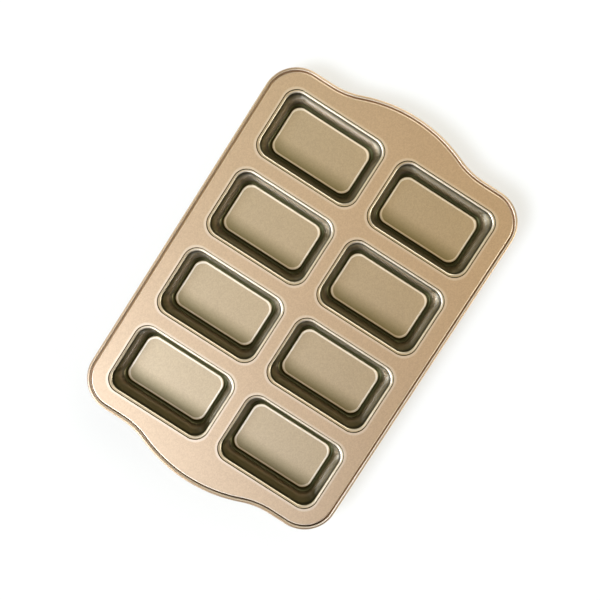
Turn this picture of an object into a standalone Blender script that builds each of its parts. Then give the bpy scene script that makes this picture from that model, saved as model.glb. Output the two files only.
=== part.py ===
# Mini loaf pan: a flat deck with eight drawn cups and a rim rolled round a wire.
#
# The real pan is one pressed sheet and one wire. The sheet is modelled as four deck bands, eight
# cups and a rim that meet edge to edge, so that every cup stays an open hollow of its own.
# Units are metres. X runs along the pan, from one arched end to the other, Y across it, Z up.
# The origin lies under the middle of the pan, on the surface that the cups stand on.

import math
from math import cos, pi, sin

import bmesh
import bpy

# Sheet, and the gap that neighbouring pieces keep
SHEET = 0.0006
GAP = 0.0003

# Cups: how many, how far apart, and how large at the mouth
ROWS = 4
COLUMNS = 2
MOUTH_WIDTH = 0.0662
MOUTH_LENGTH = 0.1010
MOUTH_CORNER = 0.0130
ROW_WEB = 0.0164
COLUMN_WEB = 0.0153

# Cup section, from the mouth down to the raised floor panel
CUP_DEPTH = 0.0300
LEDGE_WIDTH = 0.0010
LEDGE_DROP = 0.0006
LIP_RADIUS = 0.0016
WALL_DRAFT = math.radians(9.1)
FLOOR_FILLET = 0.0026
FOOT_WIDTH = 0.0012
PANEL_RISE = 0.0009
PANEL_SLOPE = 0.0008
PANEL_CORNER = 0.0086

# Outline of the pan: margins outside the cups, round corners and arched ends
END_MARGIN = 0.0204
SIDE_MARGIN = 0.0206
PAN_CORNER = 0.0318
HANDLE_REACH = 0.0154
HANDLE_RADIUS = 0.1401
NECK_RADIUS = 0.0705

# Rim: a shoulder, a groove and a bead rolled round the wire
BEAD_RADIUS = 0.00175
BEAD_DROP = 0.0008
GROOVE_DEPTH = 0.0015
SHOULDER_RUN = 0.0019
SHOULDER_BEND = 0.0005
ROLL_START = math.radians(135)
ROLL_END = math.radians(-162)
WIRE_CLEARANCE = 0.0003
WIRE_BUTT = 0.0006

# Steps in each round stretch
CUP_CORNER_STEPS = 4
LIP_STEPS = 3
FILLET_STEPS = 2
PAN_CORNER_STEPS = 8
HANDLE_STEPS = 6
NECK_STEPS = 5
ROLL_STEPS = 11
WIRE_BEVEL_RESOLUTION = 2
SMOOTH_ANGLE = math.radians(35)

# Worked out from the sizes above
FOOT_DEPTH = CUP_DEPTH + PANEL_RISE
DECK_HEIGHT = FOOT_DEPTH + SHEET
ROW_PITCH = MOUTH_WIDTH + ROW_WEB
COLUMN_PITCH = MOUTH_LENGTH + COLUMN_WEB
HALF_LENGTH = ((ROWS - 1) * ROW_PITCH + MOUTH_WIDTH) / 2 + END_MARGIN
HALF_WIDTH = ((COLUMNS - 1) * COLUMN_PITCH + MOUTH_LENGTH) / 2 + SIDE_MARGIN
RIM_WIDTH = 2 * BEAD_RADIUS + SHOULDER_RUN
WIRE_RADIUS = BEAD_RADIUS - SHEET - WIRE_CLEARANCE

# Finishes: colour, roughness and metallic value
DECK_FINISH = ((0.56, 0.42, 0.27, 1.0), 0.38, 0.85)
CUP_FINISH = ((0.50, 0.38, 0.25, 1.0), 0.36, 0.85)
RIM_FINISH = ((0.52, 0.38, 0.25, 1.0), 0.36, 0.85)
WIRE_FINISH = ((0.45, 0.44, 0.43, 1.0), 0.30, 1.0)


def clear_scene():
    """Removes every object that the scene holds."""
    for old in list(bpy.data.objects):
        bpy.data.objects.remove(old, do_unlink=True)


def new_collection(name):
    """Makes a collection and links it to the scene."""
    collection = bpy.data.collections.new(name)
    bpy.context.scene.collection.children.link(collection)
    return collection


def finish(name, values):
    """Makes a material with a Principled shader from a colour, a roughness and a metallic value."""
    colour, roughness, metallic = values
    material = bpy.data.materials.new(name)
    material.use_nodes = True
    shader = material.node_tree.nodes["Principled BSDF"]
    shader.inputs["Base Color"].default_value = colour
    shader.inputs["Roughness"].default_value = roughness
    shader.inputs["Metallic"].default_value = metallic
    material.diffuse_color = colour
    return material


def place(name, data, material, collection, parent, location=(0.0, 0.0, 0.0)):
    """Adds an object to the pan at its place under the parent."""
    piece = bpy.data.objects.new(name, data)
    if not data.materials:
        data.materials.append(material)
    collection.objects.link(piece)
    piece.parent = parent
    piece.location = location
    return piece


def arc(centre, radius, start, end, steps):
    """Points along an arc, both ends included."""
    angles = [start + (end - start) * step / steps for step in range(steps + 1)]
    return [(centre[0] + radius * cos(a), centre[1] + radius * sin(a)) for a in angles]


def mirrored(points, x_sign, y_sign):
    """The points mirrored into another quarter."""
    return [(x * x_sign, y * y_sign) for x, y in points]


def pan_quarter(inset):
    """A quarter of the pan's outline, drawn in by inset, from the tip of the arched end to mid-side.

    The wide arc of the handle turns into the neck's opposite arc, which ends on the straight end
    of the pan. A round corner then leads to the long side.
    """
    bulge = HANDLE_RADIUS + NECK_RADIUS
    across = bulge - HANDLE_REACH
    turn = math.acos(across / bulge)
    neck_centre = (HALF_LENGTH + NECK_RADIUS, bulge * sin(turn))
    handle_centre = (neck_centre[0] - across, 0.0)
    corner_centre = (HALF_LENGTH - PAN_CORNER, HALF_WIDTH - PAN_CORNER)
    handle = arc(handle_centre, HANDLE_RADIUS - inset, 0.0, turn, HANDLE_STEPS)
    neck = arc(neck_centre, NECK_RADIUS + inset, pi + turn, pi, NECK_STEPS)
    corner = arc(corner_centre, PAN_CORNER - inset, 0.0, pi / 2, PAN_CORNER_STEPS)
    return handle + neck[1:] + corner + [(0.0, HALF_WIDTH - inset)]


def pan_outline(inset):
    """The pan's whole outline, drawn in by inset, counter-clockwise from the middle of a long side."""
    quarter = pan_quarter(inset)
    back = quarter[::-1]
    return (mirrored(back, 1, -1)[:-1] + quarter[:-1]
            + mirrored(back, -1, 1)[:-1] + mirrored(quarter, -1, -1)[:-1])


def rounded_rectangle(width, length, radius, centre=(0.0, 0.0)):
    """Outline of a rectangle with round corners, counter-clockwise."""
    points = []
    for corner, (x_sign, y_sign) in enumerate(((1, 1), (-1, 1), (-1, -1), (1, -1))):
        middle = (centre[0] + x_sign * (width / 2 - radius), centre[1] + y_sign * (length / 2 - radius))
        start = corner * pi / 2
        points += arc(middle, radius, start, start + pi / 2, CUP_CORNER_STEPS)
    return points


def lofted_shell(rings):
    """An open surface through closed rings of (points, height), and the rings' edges."""
    shape = bmesh.new()
    loops = []
    for points, height in rings:
        corners = [shape.verts.new((x, y, height)) for x, y in points]
        loops.append([shape.edges.new(pair) for pair in zip(corners, corners[1:] + corners[:1])])
    for outer, inner in zip(loops, loops[1:]):
        bmesh.ops.bridge_loops(shape, edges=outer + inner)
    return shape, loops


def finished_mesh(name, shape):
    """Turns the surface's upper side up, and makes it a smooth mesh."""
    bmesh.ops.recalc_face_normals(shape, faces=shape.faces)
    shape.normal_update()
    highest = max(shape.faces, key=lambda face: face.calc_center_median().z)
    if highest.normal.z < 0:
        bmesh.ops.reverse_faces(shape, faces=shape.faces)
    mesh = bpy.data.meshes.new(name)
    shape.to_mesh(mesh)
    shape.free()
    mesh.shade_smooth()
    mesh.set_sharp_from_angle(angle=SMOOTH_ANGLE)
    return mesh


def add_sheet_thickness(piece):
    """Gives an open surface the sheet's thickness on its lower side."""
    wall = piece.modifiers.new("sheet", "SOLIDIFY")
    wall.thickness = SHEET
    wall.offset = -1.0
    wall.use_even_offset = True
    wall.use_quality_normals = True


def cup_section():
    """The cup's upper surface as (inset from the mouth, height under the deck's top), from the ledge inward.

    The ledge is level, the lip turns over it, the wall leans in by its draft, a fillet leads to
    the level foot, and a short slope climbs to the raised panel.
    """
    wall_turn = pi / 2 - WALL_DRAFT
    section = [(-LEDGE_WIDTH, -LEDGE_DROP)]
    for step in range(LIP_STEPS + 1):
        turn = wall_turn * step / LIP_STEPS
        section.append((LIP_RADIUS * sin(turn), -LEDGE_DROP - LIP_RADIUS * (1 - cos(turn))))
    wall_top_inset, wall_top = section[-1]
    wall_foot = -FOOT_DEPTH + FLOOR_FILLET * (1 - cos(wall_turn))
    wall_foot_inset = wall_top_inset + (wall_top - wall_foot) * math.tan(WALL_DRAFT)
    fillet_end_inset = wall_foot_inset + FLOOR_FILLET * sin(wall_turn)
    for step in range(FILLET_STEPS + 1):
        turn = wall_turn * (1 - step / FILLET_STEPS)
        section.append((fillet_end_inset - FLOOR_FILLET * sin(turn),
                        -FOOT_DEPTH + FLOOR_FILLET * (1 - cos(turn))))
    section.append((fillet_end_inset + FOOT_WIDTH, -FOOT_DEPTH))
    section.append((fillet_end_inset + FOOT_WIDTH + PANEL_SLOPE, -CUP_DEPTH))
    return section


def cup_corner(inset, panel_inset):
    """The cup's corner radius at an inset from its mouth: it tightens evenly towards the panel."""
    return MOUTH_CORNER + (PANEL_CORNER - MOUTH_CORNER) * inset / panel_inset


def cup_ring(inset, panel_inset):
    """The cup's rounded rectangle at an inset from its mouth."""
    corner = cup_corner(inset, panel_inset)
    return rounded_rectangle(MOUTH_WIDTH - 2 * inset, MOUTH_LENGTH - 2 * inset, corner)


def cup_mesh():
    """One cup as a surface, round its own centre, with the deck's top at zero."""
    section = cup_section()
    panel_inset = section[-1][0]
    shape, loops = lofted_shell([(cup_ring(inset, panel_inset), height) for inset, height in section])
    bmesh.ops.edgeloop_fill(shape, edges=loops[-1])
    return finished_mesh("loaf_cup", shape)


def cup_places():
    """The centres of the cups, row by row along the pan."""
    places = []
    for row in range(ROWS):
        for column in range(COLUMNS):
            x = (row - (ROWS - 1) / 2) * ROW_PITCH
            y = (column - (COLUMNS - 1) / 2) * COLUMN_PITCH
            places.append((x, y))
    return places


def add_cups(collection, parent):
    """Places the cups, which share one mesh."""
    mesh = cup_mesh()
    coating = finish("cup_coating", CUP_FINISH)
    for number, (x, y) in enumerate(cup_places(), start=1):
        cup = place(f"loaf_cup_{number}", mesh, coating, collection, parent, (x, y, 0.0))
        add_sheet_thickness(cup)


def deck_hole(centre):
    """The hole that a cup's ledge fills, with the gap all round."""
    panel_inset = cup_section()[-1][0]
    margin = LEDGE_WIDTH + GAP
    corner = cup_corner(-LEDGE_WIDTH, panel_inset) + GAP
    return rounded_rectangle(MOUTH_WIDTH + 2 * margin, MOUTH_LENGTH + 2 * margin, corner, centre)


def band_outline(row):
    """The deck band round one row of cups: a rectangle, or the arched end of the pan."""
    inset = RIM_WIDTH + GAP
    half_width = HALF_WIDTH - inset
    low, high = [(row + side - ROWS / 2) * ROW_PITCH for side in (0, 1)]
    low, high = low + GAP / 2, high - GAP / 2
    if 0 < row < ROWS - 1:
        return [(low, -half_width), (high, -half_width), (high, half_width), (low, half_width)]
    cut = low if row else -high
    half = pan_quarter(inset)[:-1] + [(cut, half_width)]
    end = mirrored(half[::-1], 1, -1) + half[1:]
    return end if row else mirrored(end[::-1], -1, 1)


def add_spline(curve, points, cyclic):
    """Adds a spline of straight runs through flat or spatial points."""
    spline = curve.splines.new("POLY")
    spline.points.add(len(points) - 1)
    for knot, point in zip(spline.points, points):
        knot.co = (*point, 0.0, 1.0)
    spline.use_cyclic_u = cyclic


def add_deck(collection, parent):
    """The flat deck inside the rim, in one band for each row of cups, as thick as the sheet."""
    coating = finish("deck_coating", DECK_FINISH)
    places = cup_places()
    for row in range(ROWS):
        curve = bpy.data.curves.new(f"deck_band_{row + 1}", "CURVE")
        curve.dimensions = "2D"
        curve.fill_mode = "BOTH"
        curve.extrude = SHEET / 2
        add_spline(curve, band_outline(row), True)
        for centre in places[row * COLUMNS:(row + 1) * COLUMNS]:
            add_spline(curve, deck_hole(centre), True)
        place(curve.name, curve, coating, collection, parent, (0.0, 0.0, -SHEET / 2))


def rim_section():
    """The rim's outer surface as (inset from the outline, height under the deck's top).

    The shoulder turns down from the deck into a groove, and the bead rolls outward and under.
    """
    bead_centre = -BEAD_DROP - BEAD_RADIUS
    groove_inset = 2 * BEAD_RADIUS
    section = [(RIM_WIDTH, 0.0),
               (RIM_WIDTH - SHOULDER_BEND, 0.0),
               (groove_inset, -GROOVE_DEPTH)]
    for across, height in arc((0.0, bead_centre), BEAD_RADIUS, ROLL_START, ROLL_END, ROLL_STEPS):
        section.append((BEAD_RADIUS - across, height))
    return section


def add_rim(collection, parent):
    """The rolled rim, carried round the pan's outline."""
    shape, _ = lofted_shell([(pan_outline(inset), height) for inset, height in rim_section()])
    coating = finish("rim_coating", RIM_FINISH)
    rim = place("rolled_rim", finished_mesh("rolled_rim", shape), coating, collection, parent)
    add_sheet_thickness(rim)


def add_wire(collection, parent):
    """The wire inside the rolled rim, one length whose ends butt at the middle of a long side."""
    route = pan_outline(BEAD_RADIUS)
    start = route[0]
    route[0] = (start[0] + WIRE_BUTT / 2, start[1])
    route.append((start[0] - WIRE_BUTT / 2, start[1]))
    curve = bpy.data.curves.new("rim_wire", "CURVE")
    curve.dimensions = "3D"
    curve.bevel_depth = WIRE_RADIUS
    curve.bevel_resolution = WIRE_BEVEL_RESOLUTION
    curve.use_fill_caps = True
    add_spline(curve, route, False)
    steel = finish("wire_steel", WIRE_FINISH)
    place("rim_wire", curve, steel, collection, parent, (0.0, 0.0, -BEAD_DROP - BEAD_RADIUS))


def main():
    clear_scene()
    collection = new_collection("mini_loaf_pan")
    pan = bpy.data.objects.new("pan_datum", None)
    collection.objects.link(pan)
    pan.location = (0.0, 0.0, DECK_HEIGHT)
    add_deck(collection, pan)
    add_cups(collection, pan)
    add_rim(collection, pan)
    add_wire(collection, pan)


main()
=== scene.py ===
"""Dresses the mini loaf pan: the coated sheet with eight cups, the rolled rim, its wire and a studio."""

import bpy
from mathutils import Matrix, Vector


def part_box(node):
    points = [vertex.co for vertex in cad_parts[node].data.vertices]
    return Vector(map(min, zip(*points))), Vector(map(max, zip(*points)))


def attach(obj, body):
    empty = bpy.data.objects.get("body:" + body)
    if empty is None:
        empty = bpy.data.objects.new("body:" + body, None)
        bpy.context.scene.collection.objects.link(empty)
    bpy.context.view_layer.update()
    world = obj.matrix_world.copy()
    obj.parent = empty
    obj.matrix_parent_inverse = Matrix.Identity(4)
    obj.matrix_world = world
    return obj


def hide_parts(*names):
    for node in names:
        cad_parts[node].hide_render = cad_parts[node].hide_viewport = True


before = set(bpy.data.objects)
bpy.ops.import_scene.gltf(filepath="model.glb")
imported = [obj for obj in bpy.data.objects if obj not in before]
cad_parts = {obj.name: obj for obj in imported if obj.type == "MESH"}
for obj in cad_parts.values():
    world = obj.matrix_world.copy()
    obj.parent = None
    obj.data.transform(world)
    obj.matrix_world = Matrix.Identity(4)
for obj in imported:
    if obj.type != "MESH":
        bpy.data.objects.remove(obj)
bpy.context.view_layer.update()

import math

import bpy
import numpy as np
from bpy.props import FloatProperty, FloatVectorProperty, PointerProperty

bl_info = {
    "name": "Mini loaf pan",
    "version": (1, 0, 0),
    "blender": (4, 5, 0),
    "location": "View3D > Sidebar > Loaf pan",
    "description": "Makes the coated sheet, the rolled rim and the studio of a mini loaf pan",
    "category": "Object",
}

BODY = "root"
ROWS, COLUMNS = 4, 2
CUP_NODES = [f"loaf_cup_{number}" for number in range(1, ROWS * COLUMNS + 1)]
DECK_NODES = [f"deck_band_{number}" for number in range(1, ROWS + 1)]

MILLIMETRE = 0.001
SHARP_ANGLE = math.radians(50)
MERGE_DIGITS = 8
SAME_PLACE = 1e-9

# How finely the surfaces are divided
HALF_CORNER_STEPS = 8
SHORT_SIDE_STEPS = 10
LONG_SIDE_STEPS = 18
STEP_BEND_STEPS = 8
LIP_STEPS = 8
WALL_STEPS = 8
FILLET_STEPS = 8
CHANNEL_STEPS = 5
SLOPE_STEPS = 2
EDGE_STEPS = 6
PANEL_RINGS = 6
DECK_RINGS = 4
SHOULDER_STEPS = 12
GROOVE_STEPS = 5
BEAD_STEPS = 36

# Rings just inside the panel's edge, by distance from it
PANEL_EDGE_RINGS = (0.0005, 0.001)

# The tone that paints light and shade into the coating's colour: 0 is black, then come the painted shade, the
# coating's own colour and the painted highlight colour of lips and edges
SHADE_TONE, PLAIN_TONE, HIGHLIGHT_TONE = 0.4, 1.0, 2.0

# Painted shade and highlights down the cup's section, by share along each part, and by tilt in degrees in the
# fillet: painted shade in the step, under the lip, down the walls, in the fillet and the channel, and painted
# highlights on the lip and the panel's edge
STEP_TONES = ((0.0, 1.0), (0.15, 0.0), (0.85, 0.0), (1.0, 1.0))
LIP_TONES = ((0.0, 1.0), (0.1, 1.45), (0.55, 1.45), (0.75, 0.1), (1.0, 0.1))
WALL_TONES = ((0.0, 0.1), (0.13, 0.1), (0.26, 0.52), (0.5, 0.52), (0.65, 0.7), (0.8, 0.95), (1.0, 1.0))
FILLET_TONES = ((32, 0.12), (45, 0.25), (60, 0.6), (81, 0.95))
CHANNEL_TONE = 0.12
PANEL_EDGE_TONES = ((0.0, 0.12), (0.2, 1.0), (0.5, 1.9), (1.0, 1.9))

# Painted light and shade added down the wall that faces -X, towards the light, and painted light added down
# the wall that faces -Y
LIT_WALL_TONES = ((0.0, -0.1), (0.13, -0.1), (0.2, -0.3), (0.3, 0.3), (0.45, 0.8), (0.6, 1.1), (0.8, 1.0),
                  (1.0, 0.9))
SIDE_WALL_TONES = ((0.0, 0.0), (0.4, 0.0), (0.6, 0.4), (0.8, 0.9), (1.0, 1.1))

# Where the light comes from. The painted light on the lit wall is whole in the middle of the pan, grows to
# LIT_MOST towards the light, and fades to nothing over LIT_REACH away from it
LIGHT_SIDE = (-0.87, 0.5)
LIT_MOST, LIT_REACH = 1.4, 0.137

# How much the floor panel darkens at its -X edge, a painted shadow of the -X wall, and the share of the way
# there at which this starts
PANEL_SHADE, PANEL_SHADE_START = 0.45, 0.3

# Painted sheen round the mouth, where the drawn-in sheet tilts a little: paler tones by distance outside it
PAINTED_SHEEN_TONES = ((0.0017, 1.3), (0.003, 1.2), (0.0036, 1.0))

# Painted highlights and shade across the rim, by distance in from the outline. They lie RIM_SHIFT further in
# where the rim faces the light. Their contrast grows by RIM_GAIN where it faces -X, and falls by RIM_LOSS
# where it faces +Y
RIM_TONES = ((0.0, 1.2), (0.0007, 1.2), (0.0011, 0.7), (0.0016, 0.8), (0.002, 1.4), (0.0028, 1.4),
             (0.0033, 0.3), (0.0041, 0.3), (0.0047, 1.3), (0.0053, 1.3), (0.0056, 1.0))
RIM_SHIFT, RIM_GAIN, RIM_LOSS = 0.0005, 0.8, 0.6

# Patterns of the finishes: scales per metre, and the factors that make a colour darker and lighter
CLOUD_SCALE, CLOUD_TINTS = 22.0, (0.95, 1.05)
FLAKE_SCALE, FLAKE_TINTS, FLAKE_SHARE = 1000.0, (0.78, 1.22), 0.3
GRAIN_SCALE, GRAIN_HEIGHT, ROUGHNESS_SPREAD = 1400.0, 0.02 * MILLIMETRE, 0.05
WIRE_SCALE, WIRE_TINTS, WIRE_ROUGHNESS, WIRE_GRAIN = 900.0, (0.85, 1.1), (0.25, 0.4), 0.3
PAPER_SCALE, PAPER_TINTS = 300.0, (0.985, 1.0)

# The values between which most of the noise lies, and the numbers of the mix node's colour sockets
NOISE_SPAN = (0.3, 0.7)
MIX_FACTOR, MIX_FIRST, MIX_SECOND, MIX_RESULT = 0, 6, 7, 2

# Soft lights of the studio: degrees from straight up, degrees round from +X, how sharply each fades, colour
SOFT_LIGHTS = [
    (36, 150, 50.0, (17.0, 19.2, 23.0)),
    (23, 177, 60.0, (1.9, 2.0, 2.2)),
    (12, 60, 60.0, (1.5, 1.35, 0.82)),
    (14, -60, 60.0, (1.7, 1.2, 0.48)),
    (80, -75, 30.0, (12.0, 12.0, 10.5)),
    (80, 165, 30.0, (5.0, 4.6, 3.4)),
    (80, 0, 14.0, (6.0, 6.0, 5.2)),
    (80, 90, 30.0, (3.0, 3.0, 1.8)),
    (60, 60, 2.0, (0.3, 0.3, 0.28)),
]
HORIZON, HORIZON_WIDTH = (1.0, 1.0, 1.0), 0.15

# What the camera sees round the pan: the backdrop, and the floor with its reach to each side and its glow
BACKDROP = (0.985, 0.985, 0.98, 1.0)
FLOOR_REACH, FLOOR_GLOW, FLOOR_GLOW_SHARE = 3.0, (0.985, 0.985, 0.972, 1.0), 0.6


def length(name, description, millimetres):
    """A length that the user can change."""
    return FloatProperty(name=name, description=description, default=millimetres * MILLIMETRE,
                         unit="LENGTH", precision=5)


def share(name, description, value):
    """A share between nought and one that the user can change."""
    return FloatProperty(name=name, description=description, default=value, min=0.0, max=1.0,
                         subtype="FACTOR")


def colour(name, description, value):
    """A colour that the user can change."""
    return FloatVectorProperty(name=name, description=description, default=value, size=3,
                               min=0.0, max=1.0, subtype="COLOR")


class PanShape(bpy.types.PropertyGroup):
    """Sizes of the pressed sheet, the cups and the rolled rim."""

    sheet: length("Sheet", "Thickness of the pressed sheet", 0.6)
    ledge: length("Ledge", "Width of the ledge round each mouth", 1.0)
    ledge_drop: length("Ledge drop", "How far the ledge lies under the deck", 0.6)
    ledge_bend: length("Ledge bend", "Width of the bend between deck and ledge", 0.7)
    lip_radius: length("Lip radius", "Radius of the lip at the mouth", 1.6)
    wall_draft: FloatProperty(name="Wall draft", description="How far the walls lean",
                              default=math.radians(9.1), unit="ROTATION")
    fillet: length("Fillet", "Radius between wall and channel", 3.0)
    fillet_end: FloatProperty(name="Fillet end", description="Tilt at which the fillet meets the channel",
                              default=math.radians(32), unit="ROTATION")
    channel_radius: length("Channel radius", "Radius at the bottom of the channel round the panel", 0.8)
    channel_slope: FloatProperty(name="Channel slope", description="Tilt of the slope up to the panel",
                                 default=math.radians(30), unit="ROTATION")
    panel_edge: length("Panel edge", "Radius at the edge of the floor panel", 2.2)
    panel_rise: length("Panel rise", "How far the floor panel stands over the channel", 1.0)
    mouth_corner: length("Mouth corner", "Corner radius at the mouth", 13.0)
    panel_corner: length("Panel corner", "Corner radius of the floor panel", 8.6)
    pan_corner: length("Pan corner", "Corner radius of the pan", 31.8)
    handle_reach: length("Handle reach", "How far the arched end stands out", 15.4)
    handle_radius: length("Handle radius", "Radius of the arched end", 140.1)
    neck_radius: length("Neck radius", "Radius of the opposite arc beside the arched end", 70.5)
    rim_width: length("Rim width", "Width of shoulder, groove and bead", 5.6)
    bead_radius: length("Bead radius", "Radius of the rolled bead", 1.9)
    bead_drop: length("Bead drop", "How far the bead lies under the deck", 0.8)
    groove_depth: length("Groove depth", "Depth of the groove inside the bead", 1.5)
    groove_radius: length("Groove radius", "Radius at the bottom of the groove", 0.35)
    shoulder_bend: length("Shoulder bend", "Level stretch before the shoulder turns down", 0.3)
    roll_end: FloatProperty(name="Roll end", description="Where the bead's roll ends",
                            default=math.radians(-162), unit="ROTATION")


class CoatingLook(bpy.types.PropertyGroup):
    """Colours and gloss of the coating and the wire, with the colours of painted shade and painted
    highlights.
    """

    deck: colour("Deck", "Colour of the coating on the deck and the rim", (0.49, 0.352, 0.23))
    cup: colour("Cups", "Colour of the coating in the cups", (0.455, 0.352, 0.228))
    # The colours of painted shade: what the deck, the rim and the cups darken to
    deck_shade: colour("Deck shade", "Colour that the deck and the rim darken to", (0.24, 0.12, 0.05))
    cup_shade: colour("Cup shade", "Colour that the cups darken to", (0.15, 0.14, 0.052))
    # The colour of painted highlights on lips and edges
    edge: colour("Edges", "Colour of the coating where it is thin, on lips and edges", (0.90, 0.82, 0.70))
    steel: colour("Wire", "Colour of the rim wire", (0.46, 0.45, 0.44))
    roughness: share("Roughness", "Roughness of the coating", 0.42)
    metal: share("Metal", "How metallic the coating is", 1.0)
    clear: share("Clear coat", "How much clear coat lies on the coating", 1.0)
    clear_roughness: share("Clear roughness", "Roughness of the clear coat", 0.12)
    grain: share("Grain", "Depth of the fine grain", 0.25)


class StudioLook(bpy.types.PropertyGroup):
    """Floor, light and camera."""

    floor: colour("Floor", "Colour of the floor", (0.935, 0.925, 0.90))
    lens: FloatProperty(name="Lens", description="Focal length of the camera in millimetres",
                        default=64.8, min=1.0)
    camera_place: FloatVectorProperty(name="Camera place", description="Where the camera stands", size=3,
                                      default=(0.06344, 0.01677, 0.99141), unit="LENGTH", precision=5)
    camera_turn: FloatVectorProperty(name="Camera turn", description="How the camera is turned", size=3,
                                     default=[math.radians(a) for a in (-3.63317, 1.22034, -57.35492)],
                                     subtype="EULER")


def node_boxes(names):
    """Lowest and highest corner of each CAD node, as one array."""
    return np.array([[list(corner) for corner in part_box(name)] for name in names])


def pan_measures(shape):
    """Places and sizes that follow from the CAD nodes: cup centres, mouth, deck and outline."""
    cups = node_boxes(CUP_NODES)
    rim = node_boxes(["rolled_rim"])[0]
    mouth = (cups[0, 1] - cups[0, 0])[:2] / 2 - shape.ledge
    return {
        "centres": (cups[:, 0] + cups[:, 1])[:, :2] / 2,
        "mouth": mouth,
        "deck": float(node_boxes(DECK_NODES)[:, 1, 2].max()),
        "foot": float(cups[0, 0, 2]) + shape.sheet,
        "half_length": float(rim[1, 0]) - shape.handle_reach,
        "half_width": float(rim[1, 1]),
    }


def smooth_step(share_along):
    """Rises from nought to one with level ends: three squares less two cubes."""
    return share_along ** 2 * (3 - 2 * share_along)


def read_table(table, places):
    """Values at the places, on straight lines between the table's pairs of place and value."""
    return np.interp(places, *zip(*table))


def stretch(start, end, steps):
    """Even steps from start to end without the start itself."""
    return np.linspace(start, end, steps + 1)[1:]


def side_steps():
    """How many steps a cup's long side and its short side have, from corner middle to corner middle."""
    return [2 * HALF_CORNER_STEPS + straight for straight in (LONG_SIDE_STEPS, SHORT_SIDE_STEPS)]


def rounded_rings(half_x, half_y, corner):
    """Rings of rounded rectangles, one for each entry of the three arrays, as (ring, point, xy).

    Every ring starts in the middle of the corner at +X and -Y and runs counter-clockwise. On each side
    the points follow half a corner arc, the straight stretch and half of the next arc:
    point = corner centre + radius * (cos turn, sin turn), and a straight blend between the arcs.
    """
    half = np.array([half_x, half_y], float)
    corner = np.asarray(corner, float)
    signs = np.array([(1, -1), (1, 1), (-1, 1), (-1, -1)])
    parts = []
    for side in range(4):
        straight = (LONG_SIDE_STEPS, SHORT_SIDE_STEPS)[side % 2]
        level = side * math.pi / 2
        leave = level + np.linspace(-math.pi / 4, 0, HALF_CORNER_STEPS + 1)
        arrive = level + np.linspace(0, math.pi / 4, HALF_CORNER_STEPS + 1)
        first, last = [
            (half - corner)[:, :, None] * signs[(side + ahead) % 4][:, None, None]
            + corner[:, None] * np.array([np.cos(turns), np.sin(turns)])[:, None, :]
            for ahead, turns in ((0, leave), (1, arrive))]
        along = stretch(0, 1, straight)[:-1]
        middle = first[:, :, -1:] * (1 - along) + last[:, :, :1] * along
        parts.append(np.concatenate([first, middle, last[:, :, :-1]], axis=2))
    return np.moveaxis(np.concatenate(parts, axis=2), 0, 2)


def ring_faces(rings, points, closed=False):
    """Quads between neighbouring rings of points; closed also joins the last ring to the first."""
    ring = np.arange(rings if closed else rings - 1)[:, None] * points
    above = (ring + points) % (rings * points)
    here = np.arange(points)[None, :]
    ahead = (here + 1) % points
    return np.stack([ring + here, ring + ahead, above + ahead, above + here], axis=-1).reshape(-1, 4)


def signed_volume(points, faces):
    """Volume inside the faces, below nought where they point inwards."""
    first = points[faces[:, 0]]
    total = 0.0
    for corner in range(1, faces.shape[1] - 1):
        second, third = points[faces[:, corner]], points[faces[:, corner + 1]]
        total += np.einsum("ij,ij->", first, np.cross(second, third))
    return total / 6


def solid_mesh(name, points, face_sets, tones):
    """A smooth mesh from an array of points and arrays of faces, with doubles merged and faces outward.

    tones has the tone at each point, which paints light and shade into the coating's colour.
    """
    merged, kept, place = np.unique(np.round(points, MERGE_DIGITS), axis=0,
                                    return_index=True, return_inverse=True)
    place = place.reshape(-1)
    face_sets = [place[faces] for faces in face_sets if len(faces)]
    if sum(signed_volume(merged, faces) for faces in face_sets) < 0:
        face_sets = [faces[:, ::-1] for faces in face_sets]
    mesh = bpy.data.meshes.new(name)
    mesh.from_pydata(merged.tolist(), [], [face for faces in face_sets for face in faces.tolist()])
    if mesh.validate():
        raise RuntimeError(f"{name} has faces that can't be used")
    mesh.shade_smooth()
    mesh.set_sharp_from_angle(angle=SHARP_ANGLE)
    tone = mesh.attributes.new("tone", "FLOAT", "POINT")
    tone.data.foreach_set("value", np.asarray(tones, np.float32)[kept])
    return mesh


def add_piece(name, mesh, material, nodes):
    """Adds a finished mesh as a piece that rides on the pan and stands for CAD nodes."""
    piece = bpy.data.objects.new(name, mesh)
    bpy.context.scene.collection.objects.link(piece)
    mesh.materials.append(material)
    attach(piece, BODY)
    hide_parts(*nodes)
    return piece


def corner_radius(shape, inset, panel_inset):
    """Corner radius at an inset from the mouth: a straight blend from the mouth's radius to the panel's."""
    return shape.mouth_corner + (shape.panel_corner - shape.mouth_corner) * inset / panel_inset


def section_arc(centre, radius, tilts):
    """Inset and height on an arc: its centre plus the radius times (sin tilt, cos tilt)."""
    return centre[0] + radius * np.sin(tilts), centre[1] + radius * np.cos(tilts)


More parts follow.
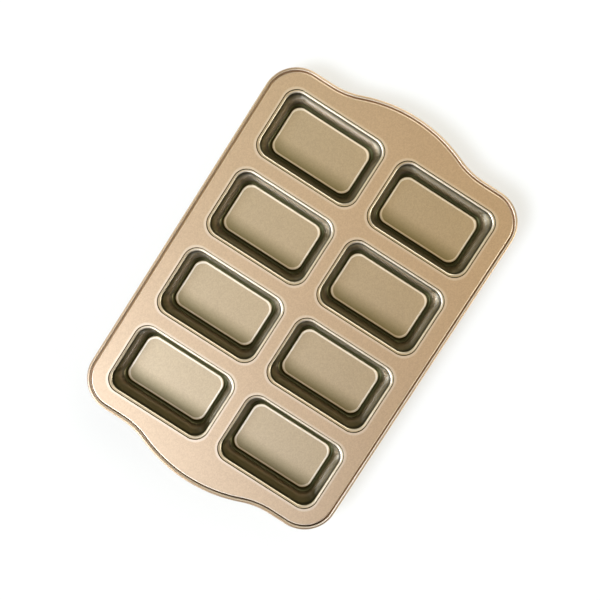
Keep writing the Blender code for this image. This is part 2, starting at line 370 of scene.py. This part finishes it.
def cup_section(shape, depth, skin):
    """The cup's section as arrays of inset from the mouth and height under the deck, and the panel's inset.

    From the deck a smooth step leads down to the level ledge. Below it every part is an arc or a straight
    run, joined without a kink: the lip, the wall at its draft, the fillet, a narrow channel, its slope and
    the rounded edge of the panel. With skin = 0 it is the inner surface; the outer one, with skin = sheet,
    lies under it by the skin, square to it.
    """
    turn = math.pi / 2 - shape.wall_draft
    fillet_end, slope = shape.fillet_end, shape.channel_slope
    lip_centre = -shape.ledge_drop - shape.lip_radius
    wall_top = (shape.lip_radius * math.sin(turn), lip_centre + shape.lip_radius * math.cos(turn))
    channel_centre = -depth + shape.channel_radius
    wall_foot = (channel_centre - shape.channel_radius * math.cos(fillet_end)
                 + shape.fillet * (math.cos(fillet_end) - math.cos(turn)))
    wall_foot_inset = wall_top[0] + (wall_top[1] - wall_foot) * math.tan(shape.wall_draft)
    fillet_centre = (wall_foot_inset + shape.fillet * math.sin(turn),
                     wall_foot + shape.fillet * math.cos(turn))
    channel_inset = fillet_centre[0] - (shape.fillet - shape.channel_radius) * math.sin(fillet_end)
    slope_foot = (channel_inset + shape.channel_radius * math.sin(slope),
                  channel_centre - shape.channel_radius * math.cos(slope))
    edge_centre = -depth + shape.panel_rise - shape.panel_edge
    climb = edge_centre + shape.panel_edge * math.cos(slope) - slope_foot[1]
    panel_inset = slope_foot[0] + climb / math.tan(slope) + shape.panel_edge * math.sin(slope)

    along = np.linspace(0, 1, STEP_BEND_STEPS + 1)
    step = ((along - 0.5) * shape.ledge_bend - shape.ledge, -shape.ledge_drop * smooth_step(along) - skin)
    lip = section_arc((0.0, lip_centre), shape.lip_radius - skin, np.linspace(0, turn, LIP_STEPS + 1))
    fillet = section_arc(fillet_centre, -(shape.fillet + skin),
                         np.linspace(turn, fillet_end, FILLET_STEPS + 1))
    channel = section_arc((channel_inset, channel_centre), -(shape.channel_radius + skin),
                          stretch(fillet_end, -slope, CHANNEL_STEPS))
    edge = section_arc((panel_inset, edge_centre), shape.panel_edge - skin,
                       np.linspace(-slope, 0, EDGE_STEPS + 1))
    inset, height = [
        np.concatenate([step[axis], lip[axis], stretch(lip[axis][-1], fillet[axis][0], WALL_STEPS)[:-1],
                        fillet[axis], channel[axis],
                        stretch(channel[axis][-1], edge[axis][0], SLOPE_STEPS)[:-1], edge[axis]])
        for axis in (0, 1)]
    return inset, height, panel_inset


def section_tones(shape):
    """Painted light and shade down the cup's section: everywhere, added on the wall facing -X, and added on
    the one facing -Y.

    Every part reads its table by the share along it, and the fillet by its tilt. The added tones fade out
    in the fillet as its own tone does.
    """
    wall = stretch(0, 1, WALL_STEPS)[:-1]
    tilt = np.degrees(np.linspace(math.pi / 2 - shape.wall_draft, shape.fillet_end, FILLET_STEPS + 1))
    fillet = read_table(FILLET_TONES, tilt)
    above = np.concatenate([read_table(STEP_TONES, np.linspace(0, 1, STEP_BEND_STEPS + 1)),
                            read_table(LIP_TONES, np.linspace(0, 1, LIP_STEPS + 1))])
    below = np.concatenate([np.full(CHANNEL_STEPS + SLOPE_STEPS - 1, CHANNEL_TONE),
                            read_table(PANEL_EDGE_TONES, np.linspace(0, 1, EDGE_STEPS + 1))])
    added = [np.concatenate([0 * above, read_table(table, wall), table[-1][1] * fillet, 0 * below])
             for table in (LIT_WALL_TONES, SIDE_WALL_TONES)]
    return np.concatenate([above, read_table(WALL_TONES, wall), fillet, below]), *added


def cup_surface(shape, measures, skin):
    """Rings of one cup round its own centre, from the deck to the middle of the panel, as (ring, point, xyz).

    Each ring is a rounded rectangle: the mouth, drawn in by the section's inset. Two more follow just inside
    the panel's edge, and then each ring is the last of them made smaller by an even share.
    """
    inset, height, panel_inset = cup_section(shape, measures["deck"] - measures["foot"], skin)
    corner = corner_radius(shape, inset, panel_inset)
    half_x, half_y = measures["mouth"]
    inset = np.append(inset, panel_inset + np.array(PANEL_EDGE_RINGS))
    corner = np.append(corner, np.full(len(PANEL_EDGE_RINGS), shape.panel_corner))
    rings = rounded_rings(half_x - inset, half_y - inset, corner)
    rings = np.concatenate([rings, rings[-1] * (1 - stretch(0, 1, PANEL_RINGS))[:, None, None]])
    height = np.append(height, np.full(len(rings) - len(height), height[-1]))
    return np.dstack([rings, np.broadcast_to(height[:, None], rings.shape[:2])])


def cup_light_and_shade(shape, rings, near_light):
    """Painted light and shade on a cup's inner surface, as tones (ring, point).

    The section's tones go round each ring. The first ring inside the panel's edge keeps the edge's painted
    highlight, and the rest of the panel has the coating's own. Towards -X the panel and its edge darken in a
    straight line, a painted shadow of the -X wall. The painted light added on the walls counts by the squared
    cosine of the angle between each point's outward direction and +X or +Y.
    """
    tone, lit, side = section_tones(shape)
    panel = len(rings) - len(tone)
    tone = np.concatenate([tone, tone[-1:], np.full(panel - 1, PLAIN_TONE)])
    tones = np.repeat(tone[:, None], rings.shape[1], axis=1)
    shaded = len(rings) - panel - EDGE_STEPS
    # Painted shadow of the -X wall across the panel
    towards = -rings[shaded:, :, 0] / rings[shaded, :, 0].max()
    tones[shaded:] -= PANEL_SHADE * np.clip((towards - PANEL_SHADE_START) / (1 - PANEL_SHADE_START), 0, 1)
    # Painted light added on the walls facing -X and -Y
    run = np.roll(rings[0, :, :2], -1, axis=0) - np.roll(rings[0, :, :2], 1, axis=0)
    to_y, to_x = (np.clip(run * (-1, 1) / np.hypot(*run.T)[:, None], 0, 1) ** 2).T
    tones[:len(lit)] += near_light * lit[:, None] * to_x + side[:, None] * to_y
    return tones


def cup_mesh(name, shape, measures, centre):
    """One cup: the inner surface out to the deck, a cut edge as thick as the sheet, and the outer surface."""
    near_light = min(LIT_MOST, 1 + float(centre @ LIGHT_SIDE) / LIT_REACH)
    inner = cup_surface(shape, measures, 0.0)
    rings = np.concatenate([inner[::-1], cup_surface(shape, measures, shape.sheet)])
    tones = np.full(rings.shape[:2], PLAIN_TONE)
    # Painted light and shade on the inner surface; the outer one keeps the plain tone
    tones[:len(inner)] = cup_light_and_shade(shape, inner, near_light)[::-1]
    count, points = rings.shape[:2]
    vertices = rings.reshape(-1, 3) + (*centre, measures["deck"])
    quads = ring_faces(count, points)
    flat = quads[(quads >= points).all(axis=1) & (quads < (count - 1) * points).all(axis=1)]
    poles = np.concatenate([quads[:points, [0, 2, 3]], quads[-points:, [0, 1, 2]]])
    return solid_mesh(name, vertices, [flat, poles], tones.reshape(-1))


def quarter_runs(shape, measures):
    """The runs of a quarter outline, from the tip of the arched end to the middle of the long side.

    Each is (length, centre or start, radius, first turn, sense): a wide arc, the neck's opposite arc,
    a straight end, a round corner and the long side.
    """
    bulge = shape.handle_radius + shape.neck_radius
    across = bulge - shape.handle_reach
    turn = math.acos(across / bulge)
    half_length, half_width = measures["half_length"], measures["half_width"]
    neck = (half_length + shape.neck_radius, bulge * math.sin(turn))
    corner = (half_length - shape.pan_corner, half_width - shape.pan_corner)
    return [
        (shape.handle_radius * turn, (neck[0] - across, 0.0), shape.handle_radius, 0.0, 1),
        (shape.neck_radius * turn, neck, shape.neck_radius, math.pi + turn, -1),
        (corner[1] - neck[1], (half_length, neck[1]), 0.0, 0.0, 0),
        (shape.pan_corner * math.pi / 2, corner, shape.pan_corner, 0.0, 1),
        (corner[0], (corner[0], half_width), 0.0, math.pi / 2, 0),
    ]


def quarter_outline(shape, measures, distance):
    """Place and outward direction at each distance along the quarter outline, as two (point, xy) arrays.

    On an arc the direction turns by distance / radius, and place = centre + radius * direction. The
    neck is the arc's far side, so its direction is turned round. A straight run keeps its direction.
    """
    place = np.zeros((len(distance), 2))
    outward = np.zeros((len(distance), 2))
    start = 0.0
    runs = quarter_runs(shape, measures)
    for number, (run, origin, radius, first, sense) in enumerate(runs):
        last = number == len(runs) - 1
        inside = (distance >= start - SAME_PLACE) & ((distance <= start + run) | last)
        along = distance[inside] - start
        if sense:
            turn = first + sense * along / radius
            away = np.stack([np.cos(turn), np.sin(turn)], axis=1)
            place[inside] = origin + radius * away
            outward[inside] = away * sense
        else:
            away = np.array([math.cos(first), math.sin(first)])
            place[inside] = origin + along[:, None] * np.array([-away[1], away[0]])
            outward[inside] = away
        start += run
    return place, outward


def side_shares(pitch, mouth, straight):
    """Where the points of a cup's side fall along the side of its tile, as shares from corner to corner."""
    edge = (1 - mouth / pitch) / 2
    return np.concatenate([np.linspace(0, edge, HALF_CORNER_STEPS + 1)[:-1],
                           np.linspace(edge, 1 - edge, straight + 1)[:-1],
                           np.linspace(1 - edge, 1, HALF_CORNER_STEPS + 1)])


def tile_layout(shape, measures):
    """Shares along the short and long sides of a tile, the row pitch and the marks along the outline."""
    centres = measures["centres"]
    pitch = abs(centres[COLUMNS, 0] - centres[0, 0])
    half_x, half_y = measures["mouth"]
    flat_x, flat_y = 2 * (half_x - shape.mouth_corner), 2 * (half_y - shape.mouth_corner)
    runs = quarter_runs(shape, measures)
    quarter = sum(run[0] for run in runs)
    corner_middle = sum(run[0] for run in runs[:3]) + runs[3][0] / 2
    tile_y = measures["half_width"] - shape.rim_width
    return {
        "pitch": pitch,
        "short": side_shares(pitch, flat_x, SHORT_SIDE_STEPS),
        "long": side_shares(tile_y, flat_y, LONG_SIDE_STEPS),
        "quarter": quarter,
        "corner_middle": corner_middle,
    }


def quarter_stations(shape, measures):
    """Distances along the quarter outline at which the tiles' points meet the rim."""
    layout = tile_layout(shape, measures)
    end = layout["long"] * layout["corner_middle"]
    side_start = layout["quarter"] - layout["pitch"]
    side = layout["corner_middle"] + layout["short"] * (side_start - layout["corner_middle"])
    inner = side_start + layout["short"] * layout["pitch"]
    return end, side, inner


def deck_points(shape, measures, distance):
    """The deck's edge at each distance along the quarter outline: the outline, drawn in by the rim."""
    place, outward = quarter_outline(shape, measures, distance)
    return place - outward * shape.rim_width


def tile_edge(shape, measures, end_tile):
    """The outer edge of a tile in the quarter with +X and +Y, in the order of the cup's ring."""
    layout = tile_layout(shape, measures)
    end, side, inner = quarter_stations(shape, measures)
    pitch = layout["pitch"]
    if end_tile:
        near = deck_points(shape, measures, end)
        far = deck_points(shape, measures, side)
        low_x = pitch
    else:
        far = deck_points(shape, measures, inner)
        near = np.stack([np.full(len(layout["long"]), pitch), layout["long"] * far[0, 1]], axis=1)
        low_x = 0.0
    back = np.stack([np.full(len(layout["long"]), low_x), (1 - layout["long"]) * far[-1, 1]], axis=1)
    across = low_x + layout["short"] * (near[0, 0] - low_x)
    bottom = np.stack([across, np.zeros(len(across))], axis=1)
    return np.concatenate([near[:-1], far[:-1], back[:-1], bottom[:-1]])


def tile_surface(shape, measures, end_tile):
    """A flat tile between the cup's bend and the tile's edge, as rings and their tones.

    The first rings follow the mouth and hold the painted sheen: a paler stretch where the drawn-in sheet
    tilts a little. From the last of them a straight blend leads to the edge.
    """
    half_x, half_y = measures["mouth"]
    # The painted sheen round the mouth
    distances, sheen_tones = zip(*PAINTED_SHEEN_TONES)
    inset = -np.array([shape.ledge + shape.ledge_bend / 2, *distances])
    panel_inset = cup_section(shape, measures["deck"] - measures["foot"], 0.0)[-1]
    corner = corner_radius(shape, inset, panel_inset)
    centres = measures["centres"]
    number = len(centres) - 1 if end_tile else len(centres) - 1 - COLUMNS
    near = rounded_rings(half_x - inset, half_y - inset, corner) + centres[number]
    edge = tile_edge(shape, measures, end_tile)
    blend = stretch(0, 1, DECK_RINGS)[:, None, None]
    rings = np.concatenate([near, near[-1] * (1 - blend) + edge * blend])
    tones = np.array([PLAIN_TONE, *sheen_tones, *[PLAIN_TONE] * DECK_RINGS])
    return rings, np.broadcast_to(tones[:, None], rings.shape[:2])


def deck_mesh(name, shape, measures):
    """The deck: flat tiles round the cups, mirrored to all quarters, with the same below and cut edges."""
    top, bottom = measures["deck"], measures["deck"] - shape.sheet
    points, faces, tones = [], [], []
    count = 0
    long_steps, short_steps = side_steps()
    for end_tile in (True, False):
        tile, tile_tones = tile_surface(shape, measures, end_tile)
        rings, ring_points = tile.shape[:2]
        quads = ring_faces(rings, ring_points)
        outer = np.arange(ring_points) + (rings - 1) * ring_points
        edge_count = long_steps + short_steps if end_tile else short_steps
        edge_start = 0 if end_tile else long_steps
        edge = outer[(edge_start + np.arange(edge_count + 1)) % ring_points]
        hole = np.append(np.arange(ring_points), 0)
        for x_sign in (1, -1):
            for y_sign in (1, -1):
                flat = tile.reshape(-1, 2) * (x_sign, y_sign)
                size = len(flat)
                upper = np.column_stack([flat, np.full(size, top)])
                lower = np.column_stack([flat, np.full(size, bottom)])
                turned = x_sign * y_sign < 0
                walls = [np.stack([run[1:], run[:-1], run[:-1] + size, run[1:] + size], axis=1)
                         for run in (edge, hole[::-1])]
                made = np.concatenate([quads[:, ::-1], quads + size, *walls])
                points += [upper, lower]
                tones += [tile_tones.reshape(-1), np.full(size, PLAIN_TONE)]
                faces.append((made[:, ::-1] if turned else made) + count)
                count += 2 * size
    return solid_mesh(name, np.concatenate(points), [np.concatenate(faces)], np.concatenate(tones))


def rim_section(shape, skin):
    """The rim's section as arrays of inset from the outline, height under the deck and whether it carries
    painted highlights and shade.

    A smooth step leads from the deck down into the groove, a small arc turns up out of it, and the bead is
    an arc round the wire. The groove's arc touches the bead, so its centre lies at both radii from the
    bead's. With skin = 0 it is the outer surface, and with skin = sheet the inner one.
    """
    bead_height = -shape.bead_drop - shape.bead_radius
    groove_height = -shape.groove_depth + shape.groove_radius
    reach = shape.bead_radius + shape.groove_radius
    across = math.sqrt(reach ** 2 - (groove_height - bead_height) ** 2)
    groove_inset = shape.bead_radius + across
    meeting = math.atan2(groove_height - bead_height, -across)
    shoulder_inset = shape.rim_width - shape.shoulder_bend
    along = np.linspace(0, 1, SHOULDER_STEPS + 1)
    shoulder = (np.append(shape.rim_width, shoulder_inset + (groove_inset - shoulder_inset) * along),
                np.append(-skin, -shape.groove_depth * smooth_step(along) - skin))
    groove_turn = stretch(-math.pi / 2, meeting - math.pi, GROOVE_STEPS)[:-1]
    groove = (groove_inset - (shape.groove_radius + skin) * np.cos(groove_turn),
              groove_height + (shape.groove_radius + skin) * np.sin(groove_turn))
    bead_turn = np.linspace(meeting, shape.roll_end, BEAD_STEPS + 1)
    bead = (shape.bead_radius - (shape.bead_radius - skin) * np.cos(bead_turn),
            bead_height + (shape.bead_radius - skin) * np.sin(bead_turn))
    inset, height = [np.concatenate([shoulder[axis], groove[axis], bead[axis]]) for axis in (0, 1)]
    return inset, height, (height > bead_height) & (skin == 0)


def all_round(quarter):
    """Rows of a quarter, from its +X end to its +Y end, mirrored to the whole round counter-clockwise."""
    signs = np.ones((4, quarter.shape[-1]))
    signs[:, :2] = (1, 1), (-1, 1), (-1, -1), (1, -1)
    ways = (quarter, quarter[::-1]) * 2
    return np.concatenate([way[:-1] * sign for way, sign in zip(ways, signs)])


def rim_mesh(name, shape, measures):
    """The rim: its section, both skins as one closed loop, carried along the outline.

    Point = outline place - inset * outward direction, at the section's height. The painted highlights and
    shade follow the inset, moved and strengthened by the side that the rim faces to the light.
    """
    end, side, inner = quarter_stations(shape, measures)
    place, outward = quarter_outline(shape, measures, np.concatenate([end[:-1], side[:-1], inner]))
    inset, height, toned = [np.concatenate([outside, inside[::-1]]) for outside, inside in
                            zip(rim_section(shape, 0.0), rim_section(shape, shape.sheet))]
    flat = place[:, None, :] - outward[:, None, :] * inset[None, :, None]
    rings = np.dstack([flat, np.broadcast_to(height + measures["deck"], flat.shape[:2])])
    around, facing = all_round(rings), all_round(outward)
    # Painted highlights and shade, moved and strengthened by how the rim faces the light
    shift = RIM_SHIFT * (facing @ LIGHT_SIDE)
    contrast = 1 + RIM_GAIN * np.clip(-facing[:, 0], 0, 1) - RIM_LOSS * np.clip(facing[:, 1], 0, 1)
    tones = read_table(RIM_TONES, inset - shift[:, None]) - PLAIN_TONE
    tones = PLAIN_TONE + np.where(toned, tones * contrast[:, None], 0.0)
    faces = ring_faces(*around.shape[:2], closed=True)
    return solid_mesh(name, around.reshape(-1, 3), [faces], tones.reshape(-1))


def new_material(name):
    """An empty node material and its tree."""
    material = bpy.data.materials.new(name)
    material.use_nodes = True
    tree = material.node_tree
    tree.nodes.clear()
    return material, tree


def put(tree, socket, value):
    """Links the value to the socket where it comes from a node, and sets it there where it is plain."""
    if isinstance(value, bpy.types.NodeSocket):
        tree.links.new(value, socket)
    else:
        socket.default_value = value


def add_node(tree, kind, settings=None, **inputs):
    """Adds a node, sets its options, and sets or links its inputs by name."""
    node = tree.nodes.new(kind)
    for name, value in (settings or {}).items():
        setattr(node, name, value)
    for name, value in inputs.items():
        put(tree, node.inputs[name.replace("_", " ")], value)
    return node


def maths(tree, operation, *values, kind="ShaderNodeMath"):
    """A maths node whose inputs take the values in order."""
    node = add_node(tree, kind, {"operation": operation})
    for socket, value in zip(node.inputs, values):
        put(tree, socket, value)
    return node


def mix_colours(tree, factor, first, second):
    """A colour that goes from the first to the second with the factor."""
    mix = add_node(tree, "ShaderNodeMix", {"data_type": "RGBA"})
    for number, value in ((MIX_FACTOR, factor), (MIX_FIRST, first), (MIX_SECOND, second)):
        put(tree, mix.inputs[number], value)
    return mix.outputs[MIX_RESULT]


def scaled_range(tree, value, low, high, low_in=0.0, high_in=1.0):
    """Maps a value from one range onto another."""
    node = add_node(tree, "ShaderNodeMapRange", Value=value, From_Min=low_in, From_Max=high_in,
                    To_Min=low, To_Max=high)
    return node.outputs["Result"]


def scaled_colour(tree, colour, factor):
    """A colour times a factor."""
    node = add_node(tree, "ShaderNodeVectorMath", {"operation": "SCALE"}, Vector=colour, Scale=factor)
    return node.outputs["Vector"]


def noise(tree, scale, detail=3.0, roughness=0.5):
    """Noise on the piece's own coordinates, from nought to one."""
    place = add_node(tree, "ShaderNodeTexCoord").outputs["Object"]
    node = add_node(tree, "ShaderNodeTexNoise", Vector=place, Scale=scale, Detail=detail, Roughness=roughness)
    return node.outputs["Fac"]


def tinted(tree, pattern, base, tints):
    """The base colour made darker and lighter by two factors, mixed by the pattern's value."""
    darker, lighter = [(*[min(1.0, channel * tint) for channel in base], 1.0) for tint in tints]
    return mix_colours(tree, pattern, darker, lighter)


def finish_metal(tree, grain, depth, **inputs):
    """Ends a metal: the shader with its inputs and a fine bump from the grain."""
    bump = add_node(tree, "ShaderNodeBump", Height=grain, Strength=depth, Distance=GRAIN_HEIGHT)
    shader = add_node(tree, "ShaderNodeBsdfPrincipled", Normal=bump.outputs["Normal"], **inputs)
    add_node(tree, "ShaderNodeOutputMaterial", Surface=shader.outputs["BSDF"])


def coating_material(name, base, shade, look):
    """Satin metallic coating: a fine grain, small flakes that turn the light, and slow clouds of tone.

    The mesh's tone paints light and shade: it takes the colour down to the painted shade and on to black, or
    up to the painted highlight colour of lips and edges. The clear coat fades out with it towards black.
    """
    material, tree = new_material(name)
    place = add_node(tree, "ShaderNodeTexCoord").outputs["Object"]
    flake = add_node(tree, "ShaderNodeTexVoronoi", {"feature": "F1"}, Vector=place, Scale=FLAKE_SCALE)
    flake_tone = add_node(tree, "ShaderNodeSeparateColor", Color=flake.outputs["Color"]).outputs["Red"]
    grain = noise(tree, GRAIN_SCALE, detail=2.0, roughness=0.6)
    clouds = tinted(tree, noise(tree, CLOUD_SCALE), base, CLOUD_TINTS)
    flakes = tinted(tree, flake_tone, base, FLAKE_TINTS)
    plain = mix_colours(tree, FLAKE_SHARE, clouds, flakes)
    # The tone paints shade and highlights into the colour
    tone = add_node(tree, "ShaderNodeAttribute", {"attribute_name": "tone"}).outputs["Fac"]
    # Painted shade: below the plain tone the colour goes down to the shade colour and on to black
    above_shade = scaled_range(tree, tone, 0.0, 1.0, SHADE_TONE, PLAIN_TONE)
    bright = mix_colours(tree, above_shade, (*shade, 1.0), plain)
    shaded = scaled_colour(tree, bright, scaled_range(tree, tone, 0.0, 1.0, 0.0, SHADE_TONE))
    # Painted highlight: above the plain tone the colour goes up to the highlight colour of lips and edges
    painted_highlight = scaled_range(tree, tone, 0.0, 1.0, PLAIN_TONE, HIGHLIGHT_TONE)
    rough = scaled_range(tree, grain, look.roughness - ROUGHNESS_SPREAD, look.roughness + ROUGHNESS_SPREAD,
                         *NOISE_SPAN)
    finish_metal(tree, grain, look.grain, Base_Color=mix_colours(tree, painted_highlight, shaded, (*look.edge, 1.0)),
                 Roughness=rough, Metallic=look.metal, Coat_Roughness=look.clear_roughness,
                 Coat_Weight=scaled_range(tree, tone, 0.0, look.clear, 0.0, PLAIN_TONE))
    return material


def steel_material(name, base):
    """Drawn wire: bright steel with fine lines of uneven gloss."""
    material, tree = new_material(name)
    grain = noise(tree, WIRE_SCALE)
    finish_metal(tree, grain, WIRE_GRAIN, Base_Color=tinted(tree, grain, base, WIRE_TINTS), Metallic=1.0,
                 Roughness=scaled_range(tree, grain, *WIRE_ROUGHNESS, *NOISE_SPAN))
    return material


def floor_material(name, base):
    """Pale paper floor: part of it shines to the camera and to gloss, and the rest keeps the shadow."""
    material, tree = new_material(name)
    ray = add_node(tree, "ShaderNodeLightPath").outputs
    seen = maths(tree, "MAXIMUM", ray["Is Camera Ray"], ray["Is Glossy Ray"]).outputs[0]
    seen = maths(tree, "MAXIMUM", seen, ray["Is Transmission Ray"]).outputs[0]
    paper = tinted(tree, noise(tree, PAPER_SCALE), base, PAPER_TINTS)
    diffuse = add_node(tree, "ShaderNodeBsdfDiffuse", Color=paper)
    glow = add_node(tree, "ShaderNodeEmission", Color=FLOOR_GLOW, Strength=1.0)
    mix = add_node(tree, "ShaderNodeMixShader")
    part = maths(tree, "MULTIPLY", seen, FLOOR_GLOW_SHARE).outputs[0]
    for socket, value in zip(mix.inputs, (part, diffuse.outputs[0], glow.outputs[0])):
        put(tree, socket, value)
    add_node(tree, "ShaderNodeOutputMaterial", Surface=mix.outputs[0])
    return material


def add_light(tree, total, strength, power):
    """Adds to the light so far a colour times e to the given power."""
    light = scaled_colour(tree, strength, maths(tree, "EXPONENT", power).outputs[0])
    if total is None:
        return light
    return maths(tree, "ADD", total, light, kind="ShaderNodeVectorMath").outputs["Vector"]


def direction(from_top, round_from_x):
    """The direction so many degrees from straight up and so many degrees round from +X."""
    polar, turn = math.radians(from_top), math.radians(round_from_x)
    return (math.sin(polar) * math.cos(turn), math.sin(polar) * math.sin(turn), math.cos(polar))


def studio_world(name):
    """Light all round: a pale horizon and wide soft lights. The camera sees the plain backdrop instead.

    The horizon fades as exp(-(height / width) squared), and each soft light as
    exp(sharpness * (cosine of the angle to it - 1)).
    """
    world = bpy.data.worlds.new(name)
    world.use_nodes = True
    tree = world.node_tree
    tree.nodes.clear()
    view = add_node(tree, "ShaderNodeTexCoord").outputs["Generated"]
    height = add_node(tree, "ShaderNodeSeparateXYZ", Vector=view).outputs["Z"]
    square = maths(tree, "MULTIPLY", height, height).outputs[0]
    fade = maths(tree, "MULTIPLY", square, -1 / HORIZON_WIDTH ** 2).outputs[0]
    total = add_light(tree, None, HORIZON, fade)
    for from_top, round_from_x, sharpness, strength in SOFT_LIGHTS:
        towards = direction(from_top, round_from_x)
        cosine = maths(tree, "DOT_PRODUCT", view, towards, kind="ShaderNodeVectorMath").outputs["Value"]
        fall = maths(tree, "MULTIPLY_ADD", cosine, sharpness, -sharpness).outputs[0]
        total = add_light(tree, total, strength, fall)
    camera_ray = add_node(tree, "ShaderNodeLightPath").outputs["Is Camera Ray"]
    background = add_node(tree, "ShaderNodeBackground", Color=mix_colours(tree, camera_ray, total, BACKDROP))
    add_node(tree, "ShaderNodeOutputWorld", Surface=background.outputs[0])
    return world


class PieceMaker:
    """What the operators share: an undo step, and the settings and measures of the pan."""

    bl_options = {"REGISTER", "UNDO"}

    def pan_settings(self, context):
        """The shape, the coating's look and the measures from the CAD."""
        shape = context.scene.loafpan_shape
        return shape, context.scene.loafpan_coating, pan_measures(shape)


class LOAFPAN_OT_deck(PieceMaker, bpy.types.Operator):
    """Makes the flat deck between the cups and the rim"""

    bl_idname = "loafpan.deck"
    bl_label = "Deck"

    def execute(self, context):
        shape, look, measures = self.pan_settings(context)
        coating = coating_material("deck_coating_satin", look.deck, look.deck_shade, look)
        add_piece("pan_deck", deck_mesh("pan_deck", shape, measures), coating, DECK_NODES)
        return {"FINISHED"}


class LOAFPAN_OT_cups(PieceMaker, bpy.types.Operator):
    """Makes the eight loaf cups"""

    bl_idname = "loafpan.cups"
    bl_label = "Cups"

    def execute(self, context):
        shape, look, measures = self.pan_settings(context)
        coating = coating_material("cup_coating_satin", look.cup, look.cup_shade, look)
        for node, centre in zip(CUP_NODES, measures["centres"]):
            name = node.replace("loaf_cup", "pan_cup")
            add_piece(name, cup_mesh(name, shape, measures, centre), coating, [node])
        return {"FINISHED"}


class LOAFPAN_OT_rim(PieceMaker, bpy.types.Operator):
    """Makes the rolled rim and gives the wire inside it its finish"""

    bl_idname = "loafpan.rim"
    bl_label = "Rim and wire"

    def execute(self, context):
        shape, look, measures = self.pan_settings(context)
        coating = coating_material("rim_coating_satin", look.deck, look.deck_shade, look)
        add_piece("pan_rim", rim_mesh("pan_rim", shape, measures), coating, ["rolled_rim"])
        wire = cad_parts["rim_wire"]
        steel = steel_material("drawn_wire_steel", look.steel)
        for holder in wire.material_slots:
            holder.material = steel
        return {"FINISHED"}


class LOAFPAN_OT_stage(PieceMaker, bpy.types.Operator):
    """Sets the floor, the soft light and the camera"""

    bl_idname = "loafpan.stage"
    bl_label = "Stage"

    def execute(self, context):
        scene = context.scene
        studio = scene.loafpan_studio
        corners = np.array([(-1, -1, 0), (1, -1, 0), (1, 1, 0), (-1, 1, 0)]) * FLOOR_REACH
        mesh = bpy.data.meshes.new("studio_floor")
        mesh.from_pydata(corners.tolist(), [], [(0, 1, 2, 3)])
        mesh.materials.append(floor_material("pale_paper", studio.floor))
        floor = bpy.data.objects.new("studio_floor", mesh)
        scene.collection.objects.link(floor)
        scene.world = studio_world("studio_light")
        camera = bpy.data.objects.new("studio_camera", bpy.data.cameras.new("studio_camera"))
        scene.collection.objects.link(camera)
        camera.data.lens = studio.lens
        camera.location = studio.camera_place
        camera.rotation_euler = studio.camera_turn
        scene.camera = camera
        scene.view_settings.view_transform = "Standard"
        return {"FINISHED"}


class LOAFPAN_PT_pan(bpy.types.Panel):
    """Lists the pieces of the pan and its sizes and colours"""

    bl_idname = "LOAFPAN_PT_pan"
    bl_label = "Mini loaf pan"
    bl_space_type = "VIEW_3D"
    bl_region_type = "UI"
    bl_category = "Loaf pan"

    def draw(self, context):
        layout = self.layout
        for operator in OPERATORS:
            layout.operator(operator.bl_idname)
        for group in GROUPS:
            box = layout.box()
            settings = getattr(context.scene, group)
            for name in settings.bl_rna.properties.keys():
                if name not in ("rna_type", "name"):
                    box.prop(settings, name)


GROUPS = {"loafpan_shape": PanShape, "loafpan_coating": CoatingLook, "loafpan_studio": StudioLook}
OPERATORS = (LOAFPAN_OT_deck, LOAFPAN_OT_cups, LOAFPAN_OT_rim, LOAFPAN_OT_stage)


def register():
    """Registers the settings, the operators and the panel."""
    for name, group in GROUPS.items():
        bpy.utils.register_class(group)
        setattr(bpy.types.Scene, name, PointerProperty(type=group))
    for operator in OPERATORS:
        bpy.utils.register_class(operator)
    bpy.utils.register_class(LOAFPAN_PT_pan)


def unregister():
    """Takes everything out again."""
    bpy.utils.unregister_class(LOAFPAN_PT_pan)
    for operator in reversed(OPERATORS):
        bpy.utils.unregister_class(operator)
    for name, group in reversed(GROUPS.items()):
        delattr(bpy.types.Scene, name)
        bpy.utils.unregister_class(group)


def main():
    register()
    bpy.ops.loafpan.deck()
    bpy.ops.loafpan.cups()
    bpy.ops.loafpan.rim()
    bpy.ops.loafpan.stage()
    bpy.context.view_layer.update()


if __name__ == "__main__":
    main()
